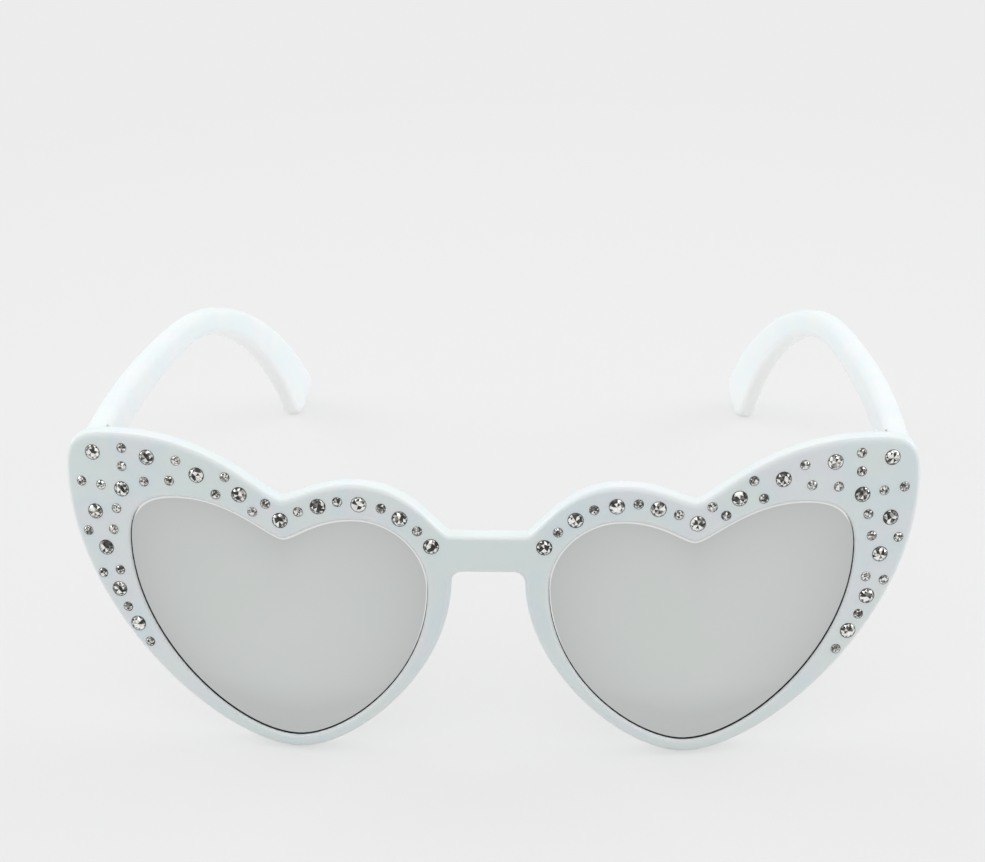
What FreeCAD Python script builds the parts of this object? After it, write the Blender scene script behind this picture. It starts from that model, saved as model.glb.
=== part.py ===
import FreeCAD, Part
import math
import os

# Heart shaped sunglasses: a moulded front set with crystals, two mirror lenses held in grooves,
# and two temples on barrel hinges. The pieces are drawn upright in millimetres, with the front
# facing -Y and the temples running back along +Y. Then all of them are leaned back together,
# until the glasses stand on their heart tips and temple tips. The wearer's left is +X.

V = FreeCAD.Vector

# Each size has a number or a formula on the sizes above it.
DIMENSIONS = (
    # Lens openings and the rim round them, seen from the front.
    ("lens_width", 52.6, "lens opening, side to side"),
    ("lens_height", 43.6, "lens opening, tip to outer peak"),
    ("bridge_gap", 20.9, "between the two lens openings"),
    ("tip_inset", "=lens_width * 0.4515", "heart tip, out from the opening's nose side"),
    ("cusp_inset", "=lens_width * 0.478", "heart cusp, out from the opening's nose side"),
    ("cusp_drop", "=lens_height * 0.151", "heart cusp, below the outer peak"),
    ("nose_peak_inset", "=lens_width * 0.2367", "inner peak, out from the opening's nose side"),
    ("nose_peak_drop", "=lens_height * 0.062", "inner peak, below the outer peak"),
    ("peak_inset", "=lens_width * 0.1806", "outer peak, in from the opening's outer side"),
    ("nose_side_rise", "=lens_height * 0.655", "widest place on the nose side, above the tip"),
    ("side_rise", "=lens_height * 0.794", "widest place on the outer side, above the tip"),
    ("rim_bottom", 2.2, "rim below the tip"),
    ("rim_nose", 4.05, "rim on the nose side"),
    ("rim_outer", 11.1, "rim on the outer side"),
    ("brow_inner", 6.3, "rim above the inner peak"),
    ("brow_notch", 6.9, "rim above the cusp"),
    ("brow_outer", 10.8, "rim above the outer peak"),
    ("corner_rise", 12.1, "outer corner, above the opening's widest place"),
    ("corner_reach", 10.4, "brow's top, out from the outer peak"),
    ("bridge_drop", 8.9, "top of the bridge, below the inner brow"),
    ("bridge_height", 6.5, "bridge, top to underside"),
    ("bridge_flat", 12.6, "straight run on top of the bridge"),
    ("nose_corner", 2.0, "radius at the top of the nose gap"),
    # The front's section.
    ("front_thickness", 4.3, "front, face to back"),
    ("root_embed", 1.0, "how far lugs and nose pads run into the front's back"),
    ("wrap_radius", 320.0, "curve of the front's face in plan"),
    ("face_ease", 0.5, "slope on the outer edge at the face"),
    ("back_ease", 0.6, "slope on the outer edge at the back"),
    ("opening_ease", 0.3, "slope on the lens opening's edge"),
    # Lenses.
    ("lens_setback", 0.5, "lens groove, behind the face"),
    ("lens_thickness", 1.8, "lens"),
    ("groove_depth", 0.7, "lens groove, into the rim"),
    ("lens_clearance", 0.05, "room round a lens in its groove"),
    # Crystals.
    ("large_crystal", 2.75, "girdle diameter of a large crystal"),
    ("small_crystal", 1.75, "girdle diameter of a small crystal"),
    ("crown_angle", 34.0, "slope of a crystal's upper facets"),
    ("glue_line", 0.02, "between the face and a crystal's flat back"),
    # Nose pads moulded on the back of the rims.
    ("nose_pad_length", 18.0, "nose pad's full round, along the rim"),
    ("nose_pad_width", 4.4, "nose pad's full round, across the rim"),
    ("nose_pad_depth", 3.8, "nose pad, behind the rim"),
    ("nose_pad_ease", 0.7, "slope on the nose pad's ridge"),
    ("nose_pad_splay", 20.0, "nose pad, turned towards the nose"),
    # Temples.
    ("temple_inset", 0.6, "temple's outer face, in from the front's end"),
    ("temple_thickness", 4.2, "temple at the hinge, across"),
    ("temple_height", 9.0, "temple at the hinge, up"),
    ("waist_height", 5.7, "temple where its bend starts, up"),
    ("tip_height", 12.0, "temple tip, up"),
    ("tip_thickness", 3.2, "temple tip, across"),
    ("tip_corner", 3.4, "radius of the tip's two corners"),
    ("temple_ease", 1.0, "slope on the temple's long edges"),
    ("arm_run", 62.9, "straight run of the temple's top edge"),
    ("arm_rise", 4.1, "upward slope of that run"),
    ("bend_radius", 65.0, "ear bend, on the top edge"),
    ("bend_angle", 60.5, "turn of the ear bend"),
    ("toe_run", 15.4, "run before the temple curves in"),
    ("toe_radius", 247.0, "inward curve of the temple"),
    # Hinges.
    ("lug_depth", 1.4, "hinge lug, behind the front's end"),
    ("lug_width", 10.6, "hinge lug, across"),
    ("lug_height", 9.8, "hinge lug, up"),
    ("lug_round", 1.2, "radius of the lug's corners"),
    ("hinge_drop", 0.4, "hinge's middle, below the outer corner"),
    ("joint_gap", 0.2, "between the lug and the temple's end"),
    ("knuckle_radius", 1.4, "hinge barrel"),
    ("knuckle_height", 2.4, "one of three knuckles"),
    ("knuckle_gap", 0.05, "between two knuckles"),
    ("knuckle_clearance", 0.15, "between a barrel and what it turns beside"),
    ("leaf_thickness", 0.8, "hinge leaf"),
    ("front_leaf_width", 3.6, "front leaf's plate, across"),
    ("temple_leaf_length", 6.0, "temple leaf's plate, along the temple"),
    ("leaf_corner", 0.8, "radius of a leaf's free corners"),
    ("seat_depth", 0.5, "leaf let into the plastic"),
    ("seat_clearance", 0.05, "room beside a leaf in its seat"),
    ("pin_radius", 0.6, "hinge screw's shank"),
    ("pin_clearance", 0.04, "room round that shank"),
    ("pin_head_radius", 1.1, "hinge screw's head"),
    ("pin_head_height", 0.6, "hinge screw's head"),
    ("screw_radius", 0.4, "leaf screw's shank"),
    ("screw_clearance", 0.03, "room round that shank"),
    ("screw_length", 2.4, "leaf screw's shank, under its head"),
    ("screw_head_radius", 0.7, "leaf screw's head"),
    ("screw_head_height", 0.3, "leaf screw's head"),
    ("screw_pitch", 3.2, "between the two screws of a leaf"),
    ("slot_width", 0.25, "driver slot"),
    ("slot_depth", 0.18, "driver slot"),
)

# Each crystal's place on a heart: the angle of its ray from the lens centre, in degrees up from
# the outer side, and its share of the way across the rim.
BROW_LARGE = ((151.5, 0.44), (137.9, 0.46), (123.7, 0.48), (109.5, 0.54), (92.6, 0.48),
              (74.8, 0.51), (62.3, 0.50))
BROW_SMALL = ((144.8, 0.49), (130.9, 0.50), (116.2, 0.56), (101.4, 0.58), (85.7, 0.72),
              (78.7, 0.28), (71.6, 0.74), (65.4, 0.23))
CORNER_LARGE = ((51.9, 0.64), (41.8, 0.77), (39.5, 0.27), (29.1, 0.57), (20.4, 0.49),
                (7.6, 0.54), (-5.4, 0.57))
CORNER_SMALL = ((58.7, 0.67), (53.0, 0.27), (48.1, 0.77), (46.2, 0.25), (44.6, 0.50),
                (36.5, 0.50), (34.1, 0.77), (33.5, 0.24), (27.0, 0.28), (22.9, 0.77),
                (14.6, 0.33), (11.8, 0.78), (1.2, 0.57), (-13.6, 0.61))

# The nose pad's top, middle and lower end, as rays from the lens centre.
NOSE_PAD_RAYS = (172.0, 187.0, 203.0)

# A crystal's cut: folds round its axis, and the table and star corners as shares of its radius.
LARGE_FOLDS = 6
SMALL_FOLDS = 8
TABLE_SHARE = 0.54
STAR_SHARE = 0.78

# The small screws that hold a hinge leaf have this many flats in place of a full round.
SCREW_FLAT_COUNT = 10

# The barrel's knuckles: the temple leaf has the middle one, and the front leaf the other two.
KNUCKLE_COUNT = 3

# Two faces that meet at more than this angle, in radians, have a sharp edge between them.
SHARP_TURN = 0.3
TOUCH = 1e-3

RIGHT = V(1, 0, 0)
LEFT = V(-1, 0, 0)
UP = V(0, 1, 0)
DOWN = V(0, -1, 0)

doc = FreeCAD.newDocument("heart_sunglasses")
sheet = doc.addObject("Spreadsheet::Sheet", "dims")
for row, (name, number, meaning) in enumerate(DIMENSIONS, 1):
    sheet.set(f"A{row}", meaning)
    sheet.set(f"B{row}", str(number))
    sheet.setAlias(f"B{row}", name)
doc.recompute()


def size(name):
    """A driving dimension, read from the sheet."""
    return float(sheet.get(name))


def add(kind, name, **properties):
    """A new object with plain properties."""
    feature = doc.addObject(kind, name)
    for key, item in properties.items():
        setattr(feature, key, item)
    return feature


def bind(feature, **expressions):
    """Tie properties to the sheet. The object comes back."""
    for key, expression in expressions.items():
        feature.setExpression(key, expression)
    return feature


def place(feature, corner, axis=None, angle=0.0):
    """Put an object at a point, turned about an axis."""
    feature.Placement = FreeCAD.Placement(corner, FreeCAD.Rotation(axis or V(0, 0, 1), angle))
    return feature


def cut(name, base, tool):
    return add("Part::Cut", name, Base=base, Tool=tool)


def fuse(name, *shapes):
    return add("Part::MultiFuse", name, Shapes=list(shapes))


def group(name, *shapes):
    return add("Part::Compound", name, Links=list(shapes))


def mirror(name, source):
    """The same piece on the other side of the nose."""
    return add("Part::Mirroring", name, Source=source, Normal=V(1, 0, 0))


def sketch(name, curves, facing):
    """A sketch of ready-made curves on the front, side or plan view."""
    turns = {"front": (V(1, 0, 0), 90.0), "side": (V(1, 1, 1), 120.0), "plan": (V(0, 0, 1), 0.0)}
    drawing = add("Sketcher::SketchObject", name)
    place(drawing, V(0, 0, 0), *turns[facing])
    for line in curves:
        drawing.addGeometry(line, False)
    return drawing


def extrude(name, drawing, way, reach):
    """A solid that runs from a sketch along one way."""
    solid = add("Part::Extrusion", name, Base=drawing, DirMode="Custom", Dir=way, Solid=True)
    return bind(solid, LengthFwd=reach)


def picked(base, chosen, reach):
    """The edges of an object that a test picks, each with the reach of its new face."""
    doc.recompute()
    numbers = [number for number, edge in enumerate(base.Shape.Edges, 1) if chosen(edge)]
    return [(number, reach, reach) for number in numbers]


def round_edges(name, base, chosen, radius):
    return add("Part::Fillet", name, Base=base, Edges=picked(base, chosen, radius))


def ease_edges(name, base, chosen, reach):
    return add("Part::Chamfer", name, Base=base, Edges=picked(base, chosen, reach))


def along(edge, way):
    """True where an edge is straight and runs along a way."""
    start, end = edge.valueAt(edge.FirstParameter), edge.valueAt(edge.LastParameter)
    return (end - start).cross(way).Length < TOUCH and edge.Length > TOUCH


def edge_points(edge, count=5):
    """Points spread along an edge."""
    first, span = edge.FirstParameter, edge.LastParameter - edge.FirstParameter
    return [edge.valueAt(first + span * step / (count - 1)) for step in range(count)]


def sharp(shape, edge):
    """True where the two faces of an edge meet at a corner."""
    middle = edge_points(edge, 3)[1]
    normals = []
    for face in shape.ancestorsOfType(edge, Part.Face):
        normals.append(face.normalAt(*face.Surface.parameter(middle)))
    return len(normals) == 2 and normals[0].getAngle(normals[1]) > SHARP_TURN


def depth(across, behind=0.0):
    """How far back the front's face lies at a distance from the nose, or a surface behind it."""
    radius = size("wrap_radius")
    return radius - math.sqrt((radius - behind) ** 2 - across ** 2)


# Heart outlines

def bow(start, start_way, start_fullness, end, end_way, end_fullness):
    """A curve between two turning points of a heart. Its two handles lie level or upright, and
    each is a share of the curve's own reach in that way."""
    reach = V(abs(end.x - start.x), abs(end.y - start.y), 0)

    def handle(way, fullness):
        return V(way.x * reach.x, way.y * reach.y, 0) * fullness

    curve = Part.BezierCurve()
    first, last = start + handle(start_way, start_fullness), end + handle(end_way, end_fullness)
    curve.setPoles([start, first, last, end])
    return curve.toBSpline()


def lens_points(grow):
    """The six turning points of the left lens opening, moved outward by a distance."""
    nose = size("bridge_gap") / 2
    side = nose + size("lens_width")
    bottom = size("rim_bottom")
    top = bottom + size("lens_height")
    return {
        "tip": V(nose + size("tip_inset"), bottom - grow),
        "side": V(side + grow, bottom + size("side_rise")),
        "peak": V(side - size("peak_inset"), top + grow),
        "cusp": V(nose + size("cusp_inset"), top - size("cusp_drop") + grow),
        "nose_peak": V(nose + size("nose_peak_inset"), top - size("nose_peak_drop") + grow),
        "nose_side": V(nose - grow, bottom + size("nose_side_rise")),
    }


def rim_points():
    """The turning points of the rim's left half, from the lens opening and the rim's widths."""
    lens = lens_points(0)
    points = {
        "tip": lens["tip"] - V(0, size("rim_bottom")),
        "side": lens["side"] + V(size("rim_outer"), size("corner_rise")),
        "peak": lens["peak"] + V(size("corner_reach"), size("brow_outer")),
        "cusp": lens["cusp"] + V(0, size("brow_notch")),
        "nose_peak": lens["nose_peak"] + V(0, size("brow_inner")),
    }
    bridge_top = points["nose_peak"].y - size("bridge_drop")
    underside = bridge_top - size("bridge_height")
    points["bridge_top"] = V(size("bridge_flat") / 2, bridge_top)
    points["nose_side"] = V(lens["nose_side"].x - size("rim_nose"), underside - size("nose_corner"))
    points["bridge_under"] = V(points["nose_side"].x - size("nose_corner"), underside)
    return points


def lens_heart(grow):
    """Closed outline of the left lens opening, or of a larger heart round it."""
    point = lens_points(grow)
    return [
        bow(point["side"], DOWN, 0.53, point["tip"], RIGHT, 0.39),
        bow(point["tip"], LEFT, 0.34, point["nose_side"], DOWN, 0.59),
        bow(point["nose_side"], UP, 0.57, point["nose_peak"], LEFT, 0.52),
        bow(point["nose_peak"], RIGHT, 0.55, point["cusp"], LEFT, 0.146),
        bow(point["cusp"], RIGHT, 0.128, point["peak"], LEFT, 0.517),
        bow(point["peak"], RIGHT, 0.714, point["side"], UP, 0.709),
    ]


def rim_half():
    """Outline of the front's left half, from the top of the bridge round to its underside."""
    point = rim_points()
    corner = size("nose_corner")
    middle = point["bridge_under"] + V(1, 1, 0) * corner * math.sqrt(0.5) - V(0, corner, 0)
    return [
        bow(point["bridge_top"], RIGHT, 0.138, point["nose_peak"], LEFT, 0.64),
        bow(point["nose_peak"], RIGHT, 0.52, point["cusp"], LEFT, 0.142),
        bow(point["cusp"], RIGHT, 0.106, point["peak"], LEFT, 0.61),
        bow(point["peak"], RIGHT, 0.82, point["side"], UP, 0.87),
        bow(point["side"], DOWN, 0.54, point["tip"], RIGHT, 0.35),
        bow(point["tip"], LEFT, 0.37, point["nose_side"], DOWN, 0.51),
        Part.Arc(point["nose_side"], middle, point["bridge_under"]),
    ]


def front_outline():
    """Both halves of the front's outline, joined by the bridge."""
    point = rim_points()
    outline = rim_half()
    for curve in rim_half():
        curve.mirror(V(0, 0, 0), V(0, 1, 0))
        outline.append(curve)
    for end in (point["bridge_top"], point["bridge_under"]):
        outline.append(Part.LineSegment(V(-end.x, end.y), end))
    return outline


def lens_centre():
    point = lens_points(0)
    across = (point["nose_side"].x + point["side"].x) / 2
    return V(across, (point["tip"].y + point["peak"].y) / 2)


def crossing(curves, angle):
    """Distance from the lens centre to where a ray first meets a run of curves."""
    centre = lens_centre()
    way = V(math.cos(math.radians(angle)), math.sin(math.radians(angle)))
    ray = Part.makeLine(centre, centre + way * size("lens_width"))
    meets = Part.Compound([curve.toShape() for curve in curves]).distToShape(ray)[1]
    return min((pair[0] - centre).Length for pair in meets)


def on_rim(angle, share):
    """The place on a ray from the lens centre, a share of the way across the rim."""
    inner = crossing(lens_heart(0), angle)
    outer = crossing(rim_half(), angle)
    way = V(math.cos(math.radians(angle)), math.sin(math.radians(angle)))
    return lens_centre() + way * (inner + share * (outer - inner))


# Front

def curved_wall(name, near, far):
    """The wall between two upright cylinders that share the front's curve, given by how far
    each lies behind the face."""
    skins = []
    for skin, behind in (("near", near), ("far", far)):
        drum = add("Part::Cylinder", f"{name}_{skin}")
        bind(drum, Radius=f"dims.wrap_radius - ({behind})", Height="dims.lens_height * 2")
        drum.setExpression("Placement.Base.y", "dims.wrap_radius")
        drum.setExpression("Placement.Base.z", "-dims.lens_height / 2")
        skins.append(drum)
    return cut(name, *skins)


def lies_behind(edge, behind):
    """True where an edge lies on the surface a distance behind the face."""
    radius = size("wrap_radius")
    axis = V(0, radius, 0)
    for point in edge_points(edge):
        flat = V(point.x, point.y, 0) - axis
        if abs(flat.Length - (radius - behind)) > TOUCH:
            return False
    return True


def front_blank():
    """The rim and bridge with eased outer edges, still without openings."""
    outline = sketch("front_outline", front_outline(), "front")
    prism = extrude("front_prism", outline, V(0, 1, 0), "dims.lens_width")
    wall = curved_wall("front_wall", "0", "dims.front_thickness")
    blank = add("Part::Common", "front_cut_to_shape", Base=prism, Tool=wall)

    def on_face(edge):
        return lies_behind(edge, 0.0)

    def on_back(edge):
        return lies_behind(edge, size("front_thickness"))

    faced = ease_edges("front_face_eased", blank, on_face, size("face_ease"))
    return ease_edges("front_eased", faced, on_back, size("back_ease"))


def hinge_places():
    """Planes and axis that the hinge pieces share, on the left side."""
    end = rim_points()["side"]
    outer = end.x - size("temple_inset")
    inner = outer - size("temple_thickness")
    butt = depth(end.x, size("front_thickness")) + size("lug_depth")
    offset = size("knuckle_radius") + size("knuckle_clearance")
    floor = V(inner + size("seat_depth"), butt - size("seat_depth"))
    return {
        "outer": outer,
        "inner": inner,
        "butt": butt,
        "floor": floor,
        "axis": V(floor.x - offset, floor.y + offset),
        "height": end.y - size("hinge_drop"),
    }


def barrel_height():
    """All the knuckles of a hinge, one on the other."""
    return size("knuckle_height") * KNUCKLE_COUNT


def knuckle_base(level):
    """Height of a knuckle's underside. Level 0 is the lowest."""
    start = hinge_places()["height"] - barrel_height() / 2
    return start + level * size("knuckle_height") + size("knuckle_gap") / 2


def hinge_lug():
    """Block behind the front's outer corner that carries the hinge and stops the temple."""
    at = hinge_places()
    inside = at["outer"] - size("lug_width")
    start = depth(inside, size("front_thickness")) - size("root_embed")
    block = bind(add("Part::Box", "lug_block"), Length="dims.lug_width", Height="dims.lug_height")
    block.Width = at["butt"] - start
    place(block, V(inside, start, at["height"] - size("lug_height") / 2))

    def corner(edge):
        return along(edge, V(0, 1, 0))

    return round_edges("left_lug", block, corner, size("lug_round"))


def nose_pad():
    """Rounded pad on the back of the rim beside the nose: the part that two large balls share,
    with its ridge turned towards the nose."""
    above, spot, below = [on_rim(angle, 0.5) for angle in NOSE_PAD_RAYS]
    half, thick = size("nose_pad_length") / 2, size("nose_pad_width") / 2
    splay = math.radians(size("nose_pad_splay"))
    along_rim = V(below.x - above.x, 0, below.y - above.y)
    backward = V(-math.sin(splay), math.cos(splay), 0)
    across = along_rim.cross(backward)
    across.normalize()
    root = V(spot.x, depth(spot.x, size("front_thickness")), spot.y)
    centre = root - backward * (half - size("nose_pad_depth"))
    radius = (half ** 2 + thick ** 2) / (2 * thick)
    balls = []
    for side in (1, -1):
        ball = bind(add("Part::Sphere", "nose_pad_ball"),
                    Radius="(dims.nose_pad_length^2 + dims.nose_pad_width^2) / dims.nose_pad_width / 4")
        middle = centre + across * (side * (radius - thick))
        ball.Placement = FreeCAD.Placement(middle, FreeCAD.Rotation(V(0, 0, 1), across))
        balls.append(ball)
    lens = add("Part::Common", "nose_pad_round", Base=balls[0], Tool=balls[1])

    def ridge(edge):
        return all(abs((point - centre).Length - half) < TOUCH for point in edge_points(edge))

    soft = ease_edges("nose_pad_soft", lens, ridge, size("nose_pad_ease"))
    behind = bind(add("Part::Cylinder", "behind_front"),
                  Radius="dims.wrap_radius - dims.front_thickness + dims.root_embed",
                  Height="dims.lens_height * 2")
    behind.setExpression("Placement.Base.y", "dims.wrap_radius")
    return add("Part::Common", "left_nose_pad", Base=soft, Tool=behind)


def lens_solid(name, grow, near, far):
    """A heart cut from the front's curve between two depths behind the face."""
    outline = sketch(f"{name}_outline", lens_heart(grow), "front")
    prism = extrude(f"{name}_prism", outline, V(0, 1, 0), "dims.lens_width")
    return add("Part::Common", name, Base=prism, Tool=curved_wall(f"{name}_wall", near, far))


def front_leaf_seat():
    """Pocket in the lug's back for the front leaf and the barrel, open at the top."""
    at = hinge_places()
    reach = size("knuckle_radius") + size("knuckle_clearance")
    inside = at["axis"].x - reach - size("front_leaf_width") - size("seat_clearance")
    bottom = at["height"] - barrel_height() / 2 - size("seat_clearance")
    pocket = bind(add("Part::Box", "front_leaf_pocket"), Height="dims.lug_height")
    pocket.Length = at["axis"].x + reach + size("knuckle_clearance") - inside
    pocket.Width = size("seat_depth") * 2
    return place(pocket, V(inside, at["floor"].y, bottom))


def build_front_frame():
    """The moulded front: rim, bridge, nose pads and lugs, with its openings and seats cut."""
    lug = hinge_lug()
    pad = nose_pad()
    whole = fuse("front_with_lugs", front_blank(), lug, mirror("right_lug", lug),
                 pad, mirror("right_nose_pad", pad))
    opening = extrude("left_opening", sketch("opening_outline", lens_heart(0), "front"),
                      V(0, 1, 0), "dims.lens_width")
    opened = cut("front_opened", whole, group("openings", opening, mirror("right_opening", opening)))

    def opening_edge(edge):
        return lies_behind(edge, 0.0) and on_lens_heart(edge)

    softened = ease_edges("front_softened", opened, opening_edge, size("opening_ease"))
    groove = lens_solid("left_groove", size("groove_depth"), "dims.lens_setback",
                        "dims.lens_setback + dims.lens_thickness + 2 * dims.lens_clearance")
    grooved = cut("front_grooved", softened, group("grooves", groove, mirror("right_groove", groove)))
    seat = front_leaf_seat()
    pilots = front_screw_holes()
    seated = cut("front_seated", grooved, group("leaf_seats", seat, mirror("right_seat", seat)))
    holes = group("front_pilots", pilots, mirror("right_front_pilots", pilots))
    return cut("front_frame", seated, holes)


def on_lens_heart(edge):
    """True where an edge follows a lens opening's outline."""
    outline = Part.Compound([curve.toShape() for curve in lens_heart(0)])
    for point in edge_points(edge):
        flat = Part.Vertex(V(abs(point.x), point.z, 0))
        if outline.distToShape(flat)[0] > TOUCH:
            return False
    return True


# Crystals

def ring(radius, height, count, turn):
    """Points of a level polygon, turned by a share of one step."""
    step = 2 * math.pi / count
    corners = []
    for number in range(count):
        angle = (number + turn) * step
        corners.append(V(radius * math.cos(angle), radius * math.sin(angle), height))
    return corners


def facets_to_solid(facets):
    faces = [Part.Face(Part.makePolygon(corners + corners[:1])) for corners in facets]
    return Part.makeSolid(Part.makeShell(faces))


def crystal_sizes(girdle):
    """A crystal's radius, the slope of its crown, and its height."""
    radius = size(girdle) / 2
    slope = math.tan(math.radians(size("crown_angle")))
    return radius, slope, slope * radius * (1 - TABLE_SHARE)


def large_crystal():
    """A flat-backed brilliant: table, star facets, kites and upper halves."""
    radius, slope, top = crystal_sizes("large_crystal")
    folds = LARGE_FOLDS
    star_radius = radius * STAR_SHARE
    flat_reach = star_radius * math.cos(math.pi / folds)
    star_height = top - slope * (flat_reach - radius * TABLE_SHARE)
    table = ring(radius * TABLE_SHARE, top, folds, 0.0)
    star = ring(star_radius, star_height, folds, 0.5)
    girdle = ring(radius, 0.0, folds * 2, 0.0)
    facets = [table, girdle]
    for fold in range(folds):
        after = (fold + 1) % folds
        corner, half, corner_after = 2 * fold, 2 * fold + 1, 2 * after
        facets.append([table[fold], star[fold], table[after]])
        facets.append([table[fold], star[fold - 1], girdle[corner], star[fold]])
        facets.append([star[fold], girdle[corner], girdle[half]])
        facets.append([star[fold], girdle[half], girdle[corner_after]])
    return facets_to_solid(facets)


def small_crystal():
    """A flat-backed single cut: table and one row of crown facets."""
    radius, slope, top = crystal_sizes("small_crystal")
    table = ring(radius * TABLE_SHARE, top, SMALL_FOLDS, 0.0)
    girdle = ring(radius, 0.0, SMALL_FOLDS, 0.0)
    facets = [table, girdle]
    for number in range(SMALL_FOLDS):
        facets.append([table[number - 1], girdle[number - 1], girdle[number], table[number]])
    return facets_to_solid(facets)


def crystal_seats(left_places):
    """Frames on both halves of the front's face, each with +Z out of the plastic."""
    frames = []
    radius = size("wrap_radius")
    for side in (1, -1):
        for angle, share in left_places:
            spot = on_rim(angle, share)
            outward = V(side * spot.x, depth(spot.x) - radius, 0)
            outward.normalize()
            face = V(0, radius, spot.y) + outward * (radius + size("glue_line"))
            frames.append(FreeCAD.Placement(face, FreeCAD.Rotation(V(0, 0, 1), outward)))
    return frames


def build_crystals(label, places, stone):
    """Left and right groups of one kind of crystal, each stone glued square to the face."""
    frames = crystal_seats(places)
    count = len(places)
    groups = []
    for side, chosen in (("left", frames[:count]), ("right", frames[count:])):
        stones = []
        for frame in chosen:
            copy = stone.copy()
            copy.Placement = frame
            stones.append(copy)
        name = f"{side}_{label}_crystals"
        groups.append(add("Part::Feature", name, Shape=Part.makeCompound(stones)))
    return groups


# Hinges

def knuckle(name, level):
    """One knuckle of the hinge, still without its bore."""
    axis = hinge_places()["axis"]
    barrel = bind(add("Part::Cylinder", name), Radius="dims.knuckle_radius",
                  Height="dims.knuckle_height - dims.knuckle_gap")
    return place(barrel, V(axis.x, axis.y, knuckle_base(level)))


def pin_bore(name):
    """Room for the hinge screw's shank through all the knuckles."""
    at = hinge_places()
    bore = bind(add("Part::Cylinder", name), Radius="dims.pin_radius + dims.pin_clearance",
                Height=f"2 * dims.knuckle_height * {KNUCKLE_COUNT}")
    return place(bore, V(at["axis"].x, at["axis"].y, at["height"] - barrel_height()))


def leaf_plate(name, corner, lengths, free):
    """A leaf's plate with its two free corners rounded."""
    plate = add("Part::Box", f"{name}_plate", Length=lengths.x, Width=lengths.y, Height=lengths.z)
    place(plate, corner)
    thin = V(1, 0, 0) if lengths.x < lengths.y else V(0, 1, 0)

    def free_corner(edge):
        middle = edge_points(edge, 3)[1]
        return along(edge, thin) and abs(free(middle)) < TOUCH

    return round_edges(f"{name}_rounded", plate, free_corner, size("leaf_corner"))


def front_leaf():
    """Plate on the lug, with the hinge's lowest and highest knuckles."""
    at = hinge_places()
    reach = size("knuckle_radius") + size("knuckle_clearance")
    near = at["axis"].x - reach
    inside = near - size("front_leaf_width")
    tall = barrel_height()
    bottom = at["height"] - tall / 2
    lengths = V(size("front_leaf_width"), size("leaf_thickness"), tall)
    plate = leaf_plate("front_leaf", V(inside, at["floor"].y, bottom), lengths,
                       lambda point: point.x - inside)
    pieces = [plate]
    for level in (0, KNUCKLE_COUNT - 1):
        pieces.append(knuckle(f"front_knuckle_{level}", level))
        neck = bind(add("Part::Box", f"front_neck_{level}"), Width="dims.leaf_thickness",
                    Height="dims.knuckle_height - dims.knuckle_gap")
        neck.Length = reach
        pieces.append(place(neck, V(near, at["floor"].y, knuckle_base(level))))
    solid = fuse("front_leaf_solid", *pieces)
    return cut("left_front_hinge_leaf", cut("front_leaf_bored", solid, pin_bore("front_leaf_bore")),
               front_screw_holes("front_leaf"))


def temple_leaf():
    """Plate on the temple's inner side, with the hinge's middle knuckle."""
    at = hinge_places()
    reach = size("knuckle_radius") + size("knuckle_clearance")
    near = at["axis"].y + reach
    far = near + size("temple_leaf_length")
    tall = barrel_height()
    inside = at["floor"].x - size("leaf_thickness")
    lengths = V(size("leaf_thickness"), size("temple_leaf_length"), tall)
    plate = leaf_plate("temple_leaf", V(inside, near, at["height"] - tall / 2), lengths,
                       lambda point: point.y - far)
    neck = bind(add("Part::Box", "temple_neck"), Length="dims.leaf_thickness",
                Height="dims.knuckle_height - dims.knuckle_gap")
    neck.Width = reach
    place(neck, V(inside, at["axis"].y, knuckle_base(1)))
    solid = fuse("temple_leaf_solid", plate, neck, knuckle("temple_knuckle", 1))
    return cut("left_temple_hinge_leaf",
               cut("temple_leaf_bored", solid, pin_bore("temple_leaf_bore")),
               temple_screw_holes("temple_leaf"))


def rod(name, sides, radius, length):
    """A round rod, or one with a number of flats."""
    if sides:
        return bind(add("Part::Prism", name, Polygon=sides), Circumradius=radius, Height=length)
    return bind(add("Part::Cylinder", name), Radius=radius, Height=length)


def screw(name, sides, radius, length, head_radius, head_height):
    """A slotted screw with its head's underside at the origin and its shank along -Z."""
    shank = rod(f"{name}_shank", sides, radius, length)
    shank.setExpression("Placement.Base.z", f"-({length})")
    head = rod(f"{name}_head", sides, head_radius, head_height)
    slot = bind(add("Part::Box", f"{name}_slot"), Length="dims.slot_width",
                Width=f"4 * {head_radius}", Height="dims.slot_depth")
    slot.setExpression("Placement.Base.x", "-dims.slot_width / 2")
    slot.setExpression("Placement.Base.y", f"-2 * {head_radius}")
    slot.setExpression("Placement.Base.z", f"{head_height} - dims.slot_depth")
    return cut(name, fuse(f"{name}_solid", shank, head), slot)


def hinge_screw():
    """The screw the temple turns on. Its head rests on the highest knuckle."""
    at = hinge_places()
    pin = screw("left_hinge_screw", 0, "dims.pin_radius",
                f"dims.knuckle_height * {KNUCKLE_COUNT}",
                "dims.pin_head_radius", "dims.pin_head_height")
    top = at["height"] + barrel_height() / 2 - size("knuckle_gap") / 2
    return place(pin, V(at["axis"].x, at["axis"].y, top))


def front_screw_places():
    """Where the front leaf's screws enter: under their heads, one above the other."""
    at = hinge_places()
    reach = size("knuckle_radius") + size("knuckle_clearance")
    across = at["axis"].x - reach - size("front_leaf_width") / 2
    back = at["floor"].y + size("leaf_thickness")
    half = size("screw_pitch") / 2
    return [V(across, back, at["height"] + rise) for rise in (-half, half)]


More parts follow.
